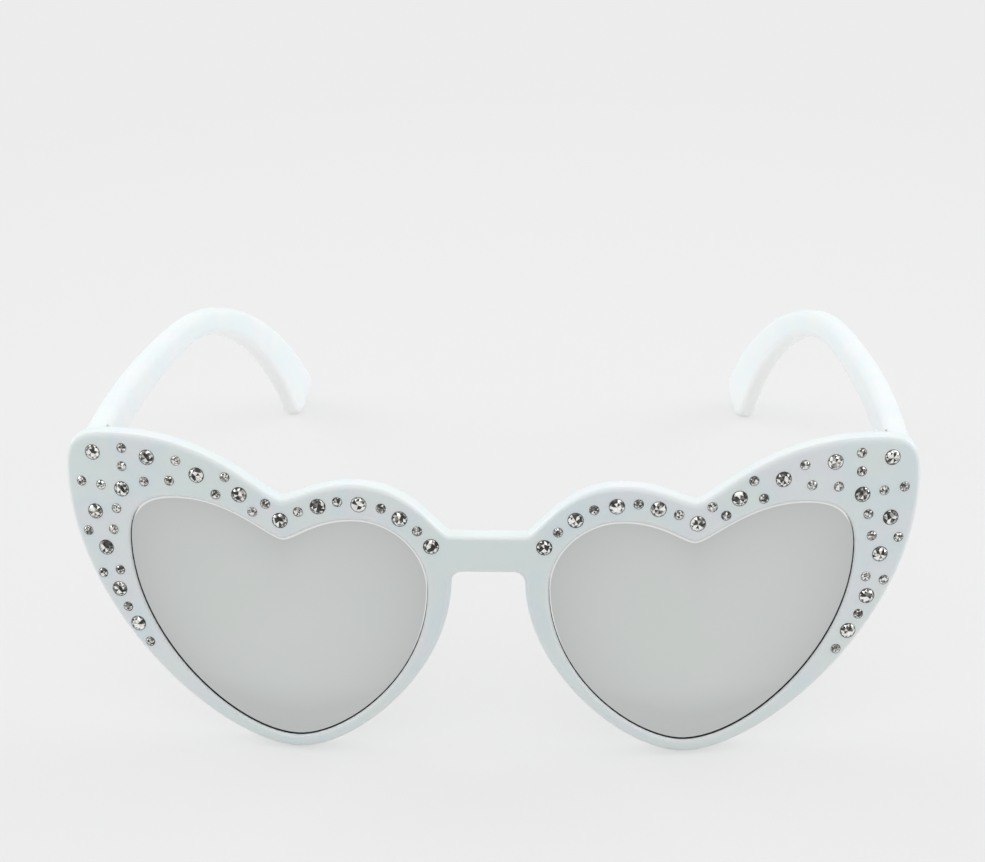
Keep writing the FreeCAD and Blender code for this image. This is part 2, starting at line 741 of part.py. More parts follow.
def temple_screw_places():
    """Where the temple leaf's screws enter: under their heads, one behind the other."""
    at = hinge_places()
    reach = size("knuckle_radius") + size("knuckle_clearance")
    middle = at["axis"].y + reach + size("temple_leaf_length") / 2
    inside = at["floor"].x - size("leaf_thickness")
    half = size("screw_pitch") / 2
    return [V(inside, middle + run, at["height"]) for run in (-half, half)]


def screw_holes(name, places, axis, angle):
    """Pilot holes as long as the screws' shanks, with a little room."""
    drills = []
    for number, spot in enumerate(places):
        drill = rod(f"{name}_hole_{number}", SCREW_FLAT_COUNT,
                    "dims.screw_radius + dims.screw_clearance",
                    "dims.screw_length + dims.screw_clearance")
        drills.append(place(drill, spot, axis, angle))
    return group(f"{name}_holes", *drills)


def front_screw_holes(name="front_pilot"):
    return screw_holes(name, front_screw_places(), V(1, 0, 0), 90.0)


def temple_screw_holes(name="temple_pilot"):
    return screw_holes(name, temple_screw_places(), V(0, 1, 0), 90.0)


def leaf_screws(name, places, axis, angle):
    """The two screws of one leaf, their heads on the plate."""
    screws = []
    for number, spot in enumerate(places):
        one = screw(f"{name}_{number}", SCREW_FLAT_COUNT, "dims.screw_radius", "dims.screw_length",
                    "dims.screw_head_radius", "dims.screw_head_height")
        screws.append(place(one, spot, axis, angle))
    return group(name, *screws)


# Temples

def tangent_arc(start, way, end):
    """The arc that leaves a point along a way and bends to either side to reach an end."""
    across = V(-way.y, way.x, 0)
    chord = end - start
    radius = chord.dot(chord) / (2 * chord.dot(across))
    centre = start + across * radius
    spoke = (start + end) * 0.5 - centre
    spoke.normalize()
    return Part.Arc(start, centre + spoke * abs(radius), end)


def heading(angle):
    """A way at an angle above level, and the way square to it, downward."""
    return V(math.cos(angle), math.sin(angle)), V(math.sin(angle), -math.cos(angle))


def temple_points():
    """Corners of the temple's side outline, as places back and up, and the arm's two headings."""
    at = hinge_places()
    root = at["butt"] + size("joint_gap")
    rise = math.radians(size("arm_rise"))
    way, down = heading(rise)
    end_down = heading(rise - math.radians(size("bend_angle")))[1]
    points = {
        "top_root": V(root, at["height"] + size("temple_height") / 2),
        "low_root": V(root, at["height"] - size("temple_height") / 2),
    }
    points["top_bend"] = points["top_root"] + way * size("arm_run")
    points["low_bend"] = points["top_bend"] + down * size("waist_height")
    points["top_tip"] = points["top_bend"] + (down - end_down) * size("bend_radius")
    points["low_tip"] = points["top_tip"] + end_down * size("tip_height")
    low_way = points["low_bend"] - points["low_root"]
    low_way.normalize()
    return points, way, low_way


def temple_side_view():
    """Side outline: a rising arm that narrows to a waist, an ear bend and a paddle tip."""
    point, way, low_way = temple_points()
    return [
        Part.LineSegment(point["top_root"], point["top_bend"]),
        tangent_arc(point["top_bend"], way, point["top_tip"]),
        Part.LineSegment(point["top_tip"], point["low_tip"]),
        tangent_arc(point["low_bend"], low_way, point["low_tip"]),
        Part.LineSegment(point["low_bend"], point["low_root"]),
        Part.LineSegment(point["low_root"], point["top_root"]),
    ]


def temple_plan():
    """Plan outline: straight beside the hinge, then one long inward curve that thins."""
    at = hinge_places()
    bend = at["butt"] + size("joint_gap") + size("toe_run")
    turn = math.asin((size("arm_run") + size("bend_radius")) / size("toe_radius"))
    inward = V(-math.cos(turn), -math.sin(turn))
    outer_root, inner_root = V(at["outer"], at["butt"]), V(at["inner"], at["butt"])
    outer_bend, inner_bend = V(at["outer"], bend), V(at["inner"], bend)
    outer_end = outer_bend + (V(-1, 0) - inward) * size("toe_radius")
    inner_end = outer_end + inward * size("tip_thickness")
    return [
        Part.LineSegment(outer_root, outer_bend),
        tangent_arc(outer_bend, V(0, 1), outer_end),
        Part.LineSegment(outer_end, inner_end),
        tangent_arc(inner_bend, V(0, 1), inner_end),
        Part.LineSegment(inner_bend, inner_root),
        Part.LineSegment(inner_root, outer_root),
    ]


def temple_leaf_seat():
    """Step in the temple's inner side that the hinge leaf lies in."""
    at = hinge_places()
    reach = size("knuckle_radius") + size("knuckle_clearance") + size("temple_leaf_length")
    seat = bind(add("Part::Box", "temple_leaf_seat"), Length="dims.seat_depth * 2",
                Height="dims.temple_height * 2")
    seat.Width = at["axis"].y + reach + size("seat_clearance") - at["butt"]
    inside = at["floor"].x - 2 * size("seat_depth")
    return place(seat, V(inside, at["butt"], at["height"] - size("temple_height")))


def build_temple():
    """The left temple: side and plan outlines crossed, edges eased, hinge seat cut."""
    root = hinge_places()["butt"] + size("joint_gap")
    points = temple_points()[0]
    side = extrude("temple_side", sketch("temple_side_view", temple_side_view(), "side"),
                   V(1, 0, 0), "dims.lens_width * 2")

    def tip_corner(edge):
        middle = edge_points(edge, 3)[1]
        gaps = [(V(middle.y, middle.z) - points[name]).Length for name in ("top_tip", "low_tip")]
        return along(edge, V(1, 0, 0)) and min(gaps) < TOUCH

    rounded_side = round_edges("temple_side_rounded", side, tip_corner, size("tip_corner"))
    plan = extrude("temple_top", sketch("temple_plan", temple_plan(), "plan"),
                   V(0, 0, 1), "dims.lens_height * 2")
    bind(plan, LengthRev="dims.lens_height")
    arm = add("Part::Common", "temple_arm", Base=rounded_side, Tool=plan)
    doc.recompute()

    def long_edge(edge):
        if max(point.y for point in edge_points(edge)) < root + TOUCH:
            return False
        return sharp(arm.Shape, edge)

    softened = ease_edges("temple_softened", arm, long_edge, size("temple_ease"))
    seated = cut("temple_seated", softened, temple_leaf_seat())
    return cut("left_temple", seated, temple_screw_holes())


# Standing pose

# The greatest lean that is tried, and how finely it is found, in degrees.
MOST_LEAN = 30.0
LEAN_STEP = 1e-4


def lowest(shape, lean):
    """Height of a shape's lowest point when it is leaned back by an angle."""
    turned = shape.copy()
    turned.rotate(V(0, 0, 0), V(1, 0, 0), -lean)
    return turned.optimalBoundingBox(False).ZMin


def standing_lean(front, temple):
    """The lean at which the hearts and the temple tips touch one level plane."""
    low, high = 0.0, MOST_LEAN
    while high - low > LEAN_STEP:
        middle = (low + high) / 2
        if lowest(temple, middle) > lowest(front, middle):
            low = middle
        else:
            high = middle
    return (low + high) / 2


def stand(pieces, front, temple):
    """Lean every piece back and set the origin under the middle of the whole part."""
    lean = standing_lean(front.Shape, temple.Shape)
    turn = FreeCAD.Rotation(V(1, 0, 0), -lean)
    leaned = FreeCAD.Placement(V(0, 0, 0), turn)
    boxes = []
    for piece in (front, temple):
        shape = piece.Shape.copy()
        shape.Placement = leaned.multiply(shape.Placement)
        boxes.append(shape.optimalBoundingBox(False))
    middle = (min(box.YMin for box in boxes) + max(box.YMax for box in boxes)) / 2
    floor = min(box.ZMin for box in boxes)
    pose = FreeCAD.Placement(V(0, -middle, -floor), turn)
    for piece in pieces:
        piece.Placement = pose.multiply(piece.Placement)
    return pose, lean


def main():
    front = build_front_frame()
    lens = lens_solid("left_lens", size("groove_depth") - size("lens_clearance"),
                      "dims.lens_setback + dims.lens_clearance",
                      "dims.lens_setback + dims.lens_clearance + dims.lens_thickness")
    temple = build_temple()
    front_screws = leaf_screws("left_front_leaf_screws", front_screw_places(), V(1, 0, 0), -90.0)
    temple_screws = leaf_screws("left_temple_leaf_screws", temple_screw_places(), V(0, 1, 0), -90.0)
    left = [lens, temple, front_leaf(), temple_leaf(), hinge_screw(), front_screws, temple_screws]
    large, small = large_crystal(), small_crystal()
    stones = []
    for label, places, stone in (("brow_large", BROW_LARGE, large), ("brow_small", BROW_SMALL, small),
                                 ("corner_large", CORNER_LARGE, large),
                                 ("corner_small", CORNER_SMALL, small)):
        stones.extend(build_crystals(label, places, stone))
    doc.recompute()
    pose, lean = stand([front, *left, *stones], front, temple)
    right = [mirror(piece.Name.replace("left_", "right_", 1), piece) for piece in left]
    doc.recompute()
    pieces = [front, *left, *right, *stones]
    for feature in doc.Objects:
        if "Invalid" in feature.State or "Error" in feature.State:
            raise RuntimeError(f"{feature.Name} failed: {feature.State}")
    os.makedirs("parts", exist_ok=True)
    for piece in pieces:
        piece.Label = piece.Name
        if piece.Shape.isNull() or not piece.Shape.isValid():
            raise RuntimeError(f"{piece.Label} has no valid shape")
        piece.Shape.exportStep(f"parts/{piece.Label}.step")
    at = hinge_places()
    hinge = pose.multVec(V(at["axis"].x, at["axis"].y, at["height"]))
    print("lean", round(lean, 4), "hinge", hinge, "pieces", len(pieces))


main()
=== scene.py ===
import math

import bpy
import numpy as np
from mathutils import Matrix, Vector


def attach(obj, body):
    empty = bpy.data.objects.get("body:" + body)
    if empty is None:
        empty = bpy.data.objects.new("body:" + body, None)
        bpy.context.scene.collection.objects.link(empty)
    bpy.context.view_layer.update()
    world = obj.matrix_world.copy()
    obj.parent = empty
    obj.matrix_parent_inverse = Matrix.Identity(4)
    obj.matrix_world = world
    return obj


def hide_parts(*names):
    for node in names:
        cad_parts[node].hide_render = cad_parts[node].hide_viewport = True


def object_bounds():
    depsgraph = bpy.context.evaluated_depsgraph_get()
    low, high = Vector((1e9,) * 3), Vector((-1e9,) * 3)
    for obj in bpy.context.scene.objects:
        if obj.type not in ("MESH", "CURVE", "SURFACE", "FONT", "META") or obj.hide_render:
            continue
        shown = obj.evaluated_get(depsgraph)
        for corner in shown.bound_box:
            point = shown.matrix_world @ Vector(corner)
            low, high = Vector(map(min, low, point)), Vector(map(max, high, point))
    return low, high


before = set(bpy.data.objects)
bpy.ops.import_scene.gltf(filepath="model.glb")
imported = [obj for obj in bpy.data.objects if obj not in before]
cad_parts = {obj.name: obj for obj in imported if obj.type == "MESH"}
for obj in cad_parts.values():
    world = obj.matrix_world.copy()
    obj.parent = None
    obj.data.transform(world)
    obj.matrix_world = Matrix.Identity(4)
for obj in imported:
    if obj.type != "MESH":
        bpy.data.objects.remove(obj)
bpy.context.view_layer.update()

MM = 0.001

# The wearer's sides, and the way each lies across.
HANDS = {"right": -1, "left": 1}

# The camera's place and aim in metres, its roll in degrees, its lens and sensor in millimetres, and
# how near and far it sees in metres.
CAMERA_PLACE = (0.020645, -0.396557, 0.242171)
CAMERA_AIM = (0.000275, -0.045097, 0.052273)
CAMERA_ROLL = -1.228
CAMERA_LENS = 83.52
CAMERA_SENSOR = 36.0
CAMERA_NEAR = 0.01
CAMERA_FAR = 50.0

# Each soft lamp's name, its place and aim in metres, its width and height in metres, and its watts.
LAMPS = (
    ("overhead", (0.0, -0.05, 1.2), (0.0, -0.05, 0.0), 2.2, 2.2, 10.2),
    ("side", (-0.9, 0.3, 0.45), (0.0, 0.0, 0.02), 0.8, 0.7, 4.4),
    ("side", (0.9, 0.3, 0.45), (0.0, 0.0, 0.02), 0.8, 0.7, 4.4),
)

# The even light from all round: its linear colour and its strength.
WORLD_LIGHT = (0.98, 1.0, 0.995)
WORLD_STRENGTH = 0.475

# The floor: its reach in metres, how much of it the camera sees as plain studio grey near the
# glasses, where the rest is lit paper with their shadow, and the distances in metres over which it
# turns all plain.
FLOOR_REACH = 3.0
PLAIN_SHARE = 0.70
SHADOW_NEAR = 0.10
SHADOW_FAR = 0.28

# Linear colours.
STUDIO_GREY = (0.84, 0.84, 0.84)
PAPER = (0.82, 0.82, 0.82)
PEARL_WHITE = (0.81, 0.875, 0.865)
PEARL_BLUE = (0.75, 0.855, 0.905)
PEARL_LILAC = (0.845, 0.845, 0.905)
PEARL_GREEN = (0.775, 0.88, 0.875)
# Painted light: the white that the pearl's edges and a temple's low side are painted towards.
PEARL_PAINTED_LIGHT = (1.0, 1.0, 1.0)
SILVER_FLASH = (0.685, 0.70, 0.69)
SILVER_CLOUD = (0.66, 0.695, 0.67)
# Painted shade: the silver that a lens is painted towards at its edge and its foot.
SILVER_SHADE = (0.58, 0.60, 0.595)
# Painted highlight on a lens's lip.
SILVER_HIGHLIGHT = (0.86, 0.88, 0.87)
SMOKE = (0.09, 0.094, 0.098)
HINGE_STEEL = (0.62, 0.62, 0.61)
SCREW_STEEL = (0.52, 0.52, 0.52)

# The pearl's hues along a drift, and a stone's painted reflections from its darkest facet to its
# brightest.
PEARL_HUES = (
    (0.30, PEARL_GREEN), (0.41, PEARL_WHITE), (0.49, PEARL_BLUE), (0.58, PEARL_LILAC),
    (0.68, PEARL_WHITE),
)
CRYSTAL_TONES = (
    (0.0, (0.015, 0.015, 0.015)), (0.28, (0.05, 0.05, 0.048)), (0.50, (0.30, 0.295, 0.28)),
    (0.68, (0.85, 0.84, 0.81)), (1.0, (1.0, 1.0, 0.98)),
)

# How fine each material's noise is: cells to the metre.
DRIFT_SCALE = 70.0
FLOW_SCALE = 260.0
CLOUD_SCALE = 60.0
MARK_SCALE = 4000.0

# Each material's least roughness, and how much its noise adds.
PEARL_ROUGHNESS = 0.26
FLOW_ROUGHNESS = 0.10
MIRROR_ROUGHNESS = 0.06
CLOUD_ROUGHNESS = 0.03
HINGE_ROUGHNESS = 0.22
SCREW_ROUGHNESS = 0.3
MARK_ROUGHNESS = 0.15

PLASTIC_IOR = 1.5

# The pearl: how much of its hues shows, how far its edges look rounded in metres, and how fast a
# painted highlight pales them as the rounded normal leaves the flat one.
HUE_SHARE = 0.65
SOFT_EDGE = 1.1 * MM
EDGE_HIGHLIGHT_GAIN = 8.0

# Painted shade on a lens: a power of the share of the way to its edge, the height in metres at
# which the painted shade at its foot begins, and the height in metres over which that goes on.
EDGE_SHADE_POWER = 3.0
LENS_SHADE_TOP = 0.013
LENS_SHADE_RUN = 0.012

# How the glasses stand: leaned back by this angle, then moved back and up in millimetres.
LEAN = math.radians(10.9599)
STAND_BACK = -69.838
STAND_UP = 1.059

# The front's curve in plan, in millimetres.
WRAP_RADIUS = 320.0

# The left lens opening, from its outer side round by the tip and the nose. Each row has a turning
# point across and up in millimetres, the way and fullness of the curve that leaves it, and the way
# and fullness that this curve meets the next point with.
HEART = (
    ((63.05, 36.818), (0, -1), 0.53, (1, 0), 0.39),
    ((34.199, 2.2), (-1, 0), 0.34, (0, -1), 0.59),
    ((10.45, 30.758), (0, 1), 0.57, (-1, 0), 0.52),
    ((22.900, 43.097), (1, 0), 0.55, (-1, 0), 0.146),
    ((35.593, 39.216), (1, 0), 0.128, (-1, 0), 0.517),
    ((53.550, 45.8), (1, 0), 0.714, (0, 1), 0.709),
)
HEART_CENTRE = (36.75, 24.0)
HEART_STEPS = 24

# A lens, in millimetres: how far behind the face its surfaces lie, how much it is crowned, and the
# rebate ground round its edge, with places measured outward from the opening. The mirror sits high
# in the opening and near the nose, so that more of the rebate's smoke grey shows below it and
# outside, where it also stands in as painted shade for the shade in the groove.
LENS_FRONT = 0.55
LENS_BACK = 2.35
LENS_CROWN = 0.3
MIRROR_EDGE = -0.12
MIRROR_RISE = 0.18
MIRROR_SHIFT = -0.05
REBATE_FOOT = 0.05
REBATE_DEPTH = 0.4
LENS_REACH = 0.6

# The shares of the way from a lens's centre to its edge at which its rings lie.
LENS_SHARES = (0.12, 0.3, 0.5, 0.7, 0.85, 0.95, 1.0)

# The lip round a lens's mirror, a ring with a painted highlight: its width in millimetres at the
# sides and at the top, and how bright the painted highlight is, with what is added for facing
# outward and up.
LIP_SIDE = 0.2
LIP_TOP = 0.44
LIP_HIGHLIGHT = 0.3
LIP_HIGHLIGHT_WAY = (-1.5, 3.3)

# A temple, in millimetres: its root's place back and up, its outer and inner side there, the floor
# and the end of its hinge seat, and its outlines from the side and in plan.
ROOT_BACK = 14.7315
ROOT_UP = 48.5184
OUTER_SIDE = 73.55
INNER_SIDE = 69.35
SEAT_FLOOR = 69.85
SEAT_END = 23.1815
ROOT_HEIGHT = 9.0
WAIST_HEIGHT = 5.7
TIP_HEIGHT = 12.0
TIP_THICKNESS = 3.2
TIP_CORNER = 3.82
ARM_RUN = 62.9
ARM_RISE = math.radians(4.1)
BEND_RADIUS = 65.0
BEND_ANGLE = math.radians(60.5)
TOE_RUN = 15.4
TOE_RADIUS = 247.0
EDGE_ROUND = 1.6
TIP_ROUND = 1.5

# The most of a section's half size that its round edges take, and the share of the arm in which the
# hinge seat ends.
ROUND_MOST = 0.98
SEAT_STEP = 0.0005

# How many sections a temple has along its seat, the rest of its arm, its bend and its tip, and how
# many corners each round edge of a section has.
SEAT_STEPS = 4
ARM_STEPS = 24
BEND_STEPS = 40
TIP_STEPS = 14
EDGE_STEPS = 7

# Painted light on a temple: how much paler than the front it is painted, and how that painted
# light grows on towards its low edge, where shade falls, over the share of its half height below
# the middle.
UNDER_LIGHT_LEAST = 0.2
UNDER_LIGHT_START = -1.4
UNDER_LIGHT_SLOPE = 2.6

# Where a smooth surface breaks into an edge.
SHARP_ANGLE = math.radians(35)

# How many stones each group has on one side, how much brighter a stone is painted below than
# above as painted light, and how far its facets' painted reflections differ from each other.
CRYSTAL_GROUPS = {
    "brow_large": (7, 0.65, 0.58), "brow_small": (8, 0.40, 0.40),
    "corner_large": (7, 0.65, 0.58), "corner_small": (14, 0.40, 0.40),
}

# The cut of a stone, in girdle radii: table corners, star corners and the polished girdle's edge.
# The lifts are the girdle's share of the stone's height, and how much higher the star corners stand
# than on the straight slope.
TABLE_REACH = 0.56
STAR_REACH = 0.77
GIRDLE_REACH = 0.91
GIRDLE_LIFT = 0.06
STAR_LIFT = 1.04
FOLDS = 8

# How many of a stone's faces are on its back and girdle, which come first.
GIRDLE_FACES = 6 * FOLDS

# Where a facet's painted reflection and the girdle's painted shade lie among the crystal's tones,
# how far whole stones differ, and what a facet's place counts for in its painted light, across,
# down and out.
FACET_SPARKLE = 0.46
GIRDLE_SHADE = 0.26
STONE_RANGE = (-0.08, 0.10)
SPARKLE_WAY = (0.1, 0.5, 0.0)
SPARKLE_SEED = 12


def operators(operation):
    """A Math node's operation as an operator of sockets, and its reflected form."""

    def plain(self, other):
        return self.maths(operation, self, other)

    def reflected(self, other):
        return self.maths(operation, other, self)

    return plain, reflected


class Socket:
    """A node's output. Sums, products and so on of sockets and numbers add Math nodes."""

    __add__, __radd__ = operators("ADD")
    __sub__, __rsub__ = operators("SUBTRACT")
    __mul__, __rmul__ = operators("MULTIPLY")
    __truediv__, __rtruediv__ = operators("DIVIDE")
    __pow__, __rpow__ = operators("POWER")

    def __init__(self, shader, output):
        self.shader = shader
        self.output = output

    def maths(self, operation, *values):
        return self.shader.node("ShaderNodeMath", {"operation": operation}, dict(enumerate(values)))

    def clamped(self):
        return self.shader.node("ShaderNodeClamp", {}, {"Value": self})


class Shader:
    """The node tree of one material or of the world, built by node()."""

    def __init__(self, owner):
        owner.use_nodes = True
        self.tree = owner.node_tree
        self.tree.nodes.clear()

    def node(self, kind, settings=None, values=None, out=0):
        """Adds a node, sets its settings, then its sockets' values or links. Gives one output."""
        made = self.tree.nodes.new(kind)
        for name, value in (settings or {}).items():
            if name == "stops":
                ramp = made.color_ramp.elements
                while len(ramp) < len(value):
                    ramp.new(0.5)
                for element, (place, colour) in zip(ramp, value):
                    element.position = place
                    element.color = (*colour, 1.0)
            else:
                setattr(made, name, value)
        for name, value in (values or {}).items():
            target = made.inputs[name]
            if isinstance(value, Socket):
                self.tree.links.new(value.output, target)
            elif target.type == "RGBA" and len(value) == 3:
                target.default_value = (*value, 1.0)
            else:
                target.default_value = value
        return Socket(self, made.outputs[out]) if made.outputs else None

    def mix(self, share, first, second):
        """The colour at share of the way from first to second."""
        return self.node("ShaderNodeMix", {"data_type": "RGBA"}, {0: share, 6: first, 7: second}, 2)

    def surface(self, shader):
        self.node("ShaderNodeOutputMaterial", {}, {"Surface": shader})


def material(name):
    made = bpy.data.materials.new(name)
    return made, Shader(made)


def pearl_plastic():
    """Injection-moulded pearl white: slow drifts of blue, lilac and green under a clear gloss.

    Edges look rounded and carry a painted highlight: they are painted paler the more the rounded
    normal leaves the flat one. A piece's attribute "under" adds painted light that pales it too.
    """
    made, s = material("pearl_plastic")
    place = s.node("ShaderNodeTexCoord", out="Object")
    drift = s.node("ShaderNodeTexNoise", {}, {"Vector": place, "Scale": DRIFT_SCALE, "Detail": 1.0})
    hues = s.node("ShaderNodeValToRGB", {"stops": PEARL_HUES}, {"Fac": drift})
    flow = s.node("ShaderNodeTexNoise", {}, {"Vector": place, "Scale": FLOW_SCALE, "Detail": 3.0})
    soft = s.node("ShaderNodeBevel", {"samples": 8}, {"Radius": SOFT_EDGE})
    flat = s.node("ShaderNodeNewGeometry", out="True Normal")
    dot = {"operation": "DOT_PRODUCT"}
    along = s.node("ShaderNodeVectorMath", dot, {0: soft, 1: flat}, "Value")
    # Painted highlight: edges are painted paler the more the rounded normal leaves the flat one.
    edge = ((1.0 - along) * EDGE_HIGHLIGHT_GAIN).clamped()
    # Painted light: the piece's attribute "under" pales it too.
    under = s.node("ShaderNodeAttribute", {"attribute_name": "under"}, out="Fac")
    pale = (edge + under).clamped()
    s.surface(s.node("ShaderNodeBsdfPrincipled", {}, {
        "Base Color": s.mix(pale, s.mix(HUE_SHARE, PEARL_WHITE, hues), PEARL_PAINTED_LIGHT),
        "Roughness": PEARL_ROUGHNESS + FLOW_ROUGHNESS * flow,
        "Normal": soft,
        "Coat Weight": 0.35,
        "Coat Roughness": 0.08,
        "IOR": PLASTIC_IOR,
    }))
    return made


def mirror_lens():
    """A silver flash on the lens's front, smoke grey plastic at its ground edge and behind; on the
    rebate that dark grey is also painted shade for the groove round the lens.

    The silver is painted darker towards its edge and its foot as painted shade, and its lip carries
    a painted highlight.
    """
    made, s = material("mirror_lens")
    place = s.node("ShaderNodeTexCoord", out="Object")
    flash = s.node("ShaderNodeAttribute", {"attribute_name": "flash"}, out="Fac")
    spread = s.node("ShaderNodeAttribute", {"attribute_name": "spread"}, out="Fac")
    lip = s.node("ShaderNodeAttribute", {"attribute_name": "lip"}, out="Fac")
    cloud = s.node("ShaderNodeTexNoise", {}, {"Vector": place, "Scale": CLOUD_SCALE, "Detail": 2.0})
    height = s.node("ShaderNodeSeparateXYZ", {}, {0: place}, "Z")
    # Painted shade: darker towards the lens's edge and its foot.
    low = ((LENS_SHADE_TOP - height) / LENS_SHADE_RUN).clamped()
    painted_shade = (spread ** EDGE_SHADE_POWER + low).clamped()
    silver = s.mix(painted_shade, s.mix(cloud, SILVER_FLASH, SILVER_CLOUD), SILVER_SHADE)
    # Painted highlight on the lip, over the silver with its painted shade; smoke grey off the
    # mirror.
    s.surface(s.node("ShaderNodeBsdfPrincipled", {}, {
        "Base Color": s.mix(flash, SMOKE, s.mix(lip, silver, SILVER_HIGHLIGHT)),
        "Metallic": flash,
        "Roughness": MIRROR_ROUGHNESS + CLOUD_ROUGHNESS * cloud,
        "IOR": PLASTIC_IOR,
    }))
    return made


def steel(name, colour, roughness):
    """Turned or stamped steel with fine tool marks."""
    made, s = material(name)
    place = s.node("ShaderNodeTexCoord", out="Object")
    marks = s.node("ShaderNodeTexNoise", {}, {"Vector": place, "Scale": MARK_SCALE, "Detail": 2.0})
    s.surface(s.node("ShaderNodeBsdfPrincipled", {}, {
        "Base Color": colour,
        "Metallic": 1.0,
        "Roughness": roughness + MARK_ROUGHNESS * marks,
    }))
    return made


def cut_crystal():
    """Foil-backed stone with painted reflections: each facet is painted its own share of light or
    dark.
    """
    made, s = material("cut_crystal")
    sparkle = s.node("ShaderNodeAttribute", {"attribute_name": "sparkle"}, out="Fac")
    s.surface(s.node("ShaderNodeBsdfPrincipled", {}, {
        "Base Color": s.node("ShaderNodeValToRGB", {"stops": CRYSTAL_TONES}, {"Fac": sparkle}),
        "Metallic": 0.85,
        "Roughness": 0.08,
        "Coat Weight": 0.6,
        "Coat Roughness": 0.02,
    }))
    return made


def dress(nodes, finish):
    """Gives CAD nodes a material in place of their own."""
    for name in nodes:
        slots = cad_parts[name].data.materials
        slots.clear()
        slots.append(finish)


def new_piece(name, corners, faces, finish):
    """A mesh of corners and faces, put into the scene at the origin."""
    mesh = bpy.data.meshes.new(name)
    mesh.from_pydata(corners, [], faces)
    mesh.materials.append(finish)
    piece = bpy.data.objects.new(name, mesh)
    bpy.context.scene.collection.objects.link(piece)
    return piece


def mark(piece, name, domain, values):
    """Puts one number on each corner or face of a piece, for its material to read."""
    made = piece.data.attributes.new(name, "FLOAT", domain)
    made.data.foreach_set("value", values.ravel())


def closed_piece(name, grid, finish):
    """A piece from a grid of corners, in rings that are each closed on themselves.

    Quads join neighbouring rings, and the first and last ring are filled. Where the volume that the
    quads enclose comes out negative, every face is read the other way, so that all face outward.
    """
    rings, count = grid.shape[:2]
    corners = grid.reshape(-1, 3)
    ring = np.arange(count)
    here = np.arange(rings - 1)[:, None] * count + ring
    after = np.roll(here, -1, axis=1)
    quads = np.stack([here, after, after + count, here + count], axis=-1).reshape(-1, 4)
    caps = [ring[::-1], ring + (rings - 1) * count]
    a, b, c, d = (corners[quads[:, column]] for column in range(4))
    volume = np.einsum("ni,ni->", a, np.cross(b, c)) + np.einsum("ni,ni->", a, np.cross(c, d))
    way = 1 if volume > 0 else -1
    faces = quads[:, ::way].tolist() + [cap[::way].tolist() for cap in caps]
    piece = new_piece(name, corners, faces, finish)
    piece.data.shade_smooth()
    piece.data.set_sharp_from_angle(angle=SHARP_ANGLE)
    return piece


def stood(x, y, z):
    """Places drawn upright in millimetres, leaned back and set down as the CAD stands, in metres:
    a turn by LEAN in the plane of back and up, then a shift."""
    back = y * math.cos(LEAN) + z * math.sin(LEAN) + STAND_BACK
    up = z * math.cos(LEAN) - y * math.sin(LEAN) + STAND_UP
    return np.stack([x, back, up], axis=-1) * MM


def heart_outline():
    """The left lens opening as points across and up. Each bow is a cubic curve, with handles that
    lie level or upright and reach a share of the bow's own width or height."""
    t = np.arange(HEART_STEPS)[:, None] / HEART_STEPS
    bows = []
    for row, next_row in zip(HEART, HEART[1:] + HEART[:1]):
        start, leaves, leave_share, meets, meet_share = (np.array(value) for value in row)
        end = np.array(next_row[0])
        reach = np.abs(end - start)
        first = start + leaves * reach * leave_share
        last = end + meets * reach * meet_share
        bows.append((1 - t) ** 3 * start + 3 * (1 - t) ** 2 * t * first
                    + 3 * (1 - t) * t ** 2 * last + t ** 3 * end)
    return np.concatenate(bows)


def beside(outline, distance):
    """An outline moved outward by a distance along its own normals."""
    way = np.roll(outline, -1, axis=0) - np.roll(outline, 1, axis=0)
    normal = np.stack([-way[:, 1], way[:, 0]], axis=1)
    return outline + normal / np.linalg.norm(normal, axis=1, keepdims=True) * distance


def crowned(edge, depth):
    """Rings of an edge, scaled towards the heart's centre, each with how far behind the face it
    lies: the depth, less a crown that falls off with the square of the ring's share."""
    centre = np.array(HEART_CENTRE)
    return [(centre + (edge - centre) * share, depth - LENS_CROWN * (1 - share ** 2))
            for share in LENS_SHARES]


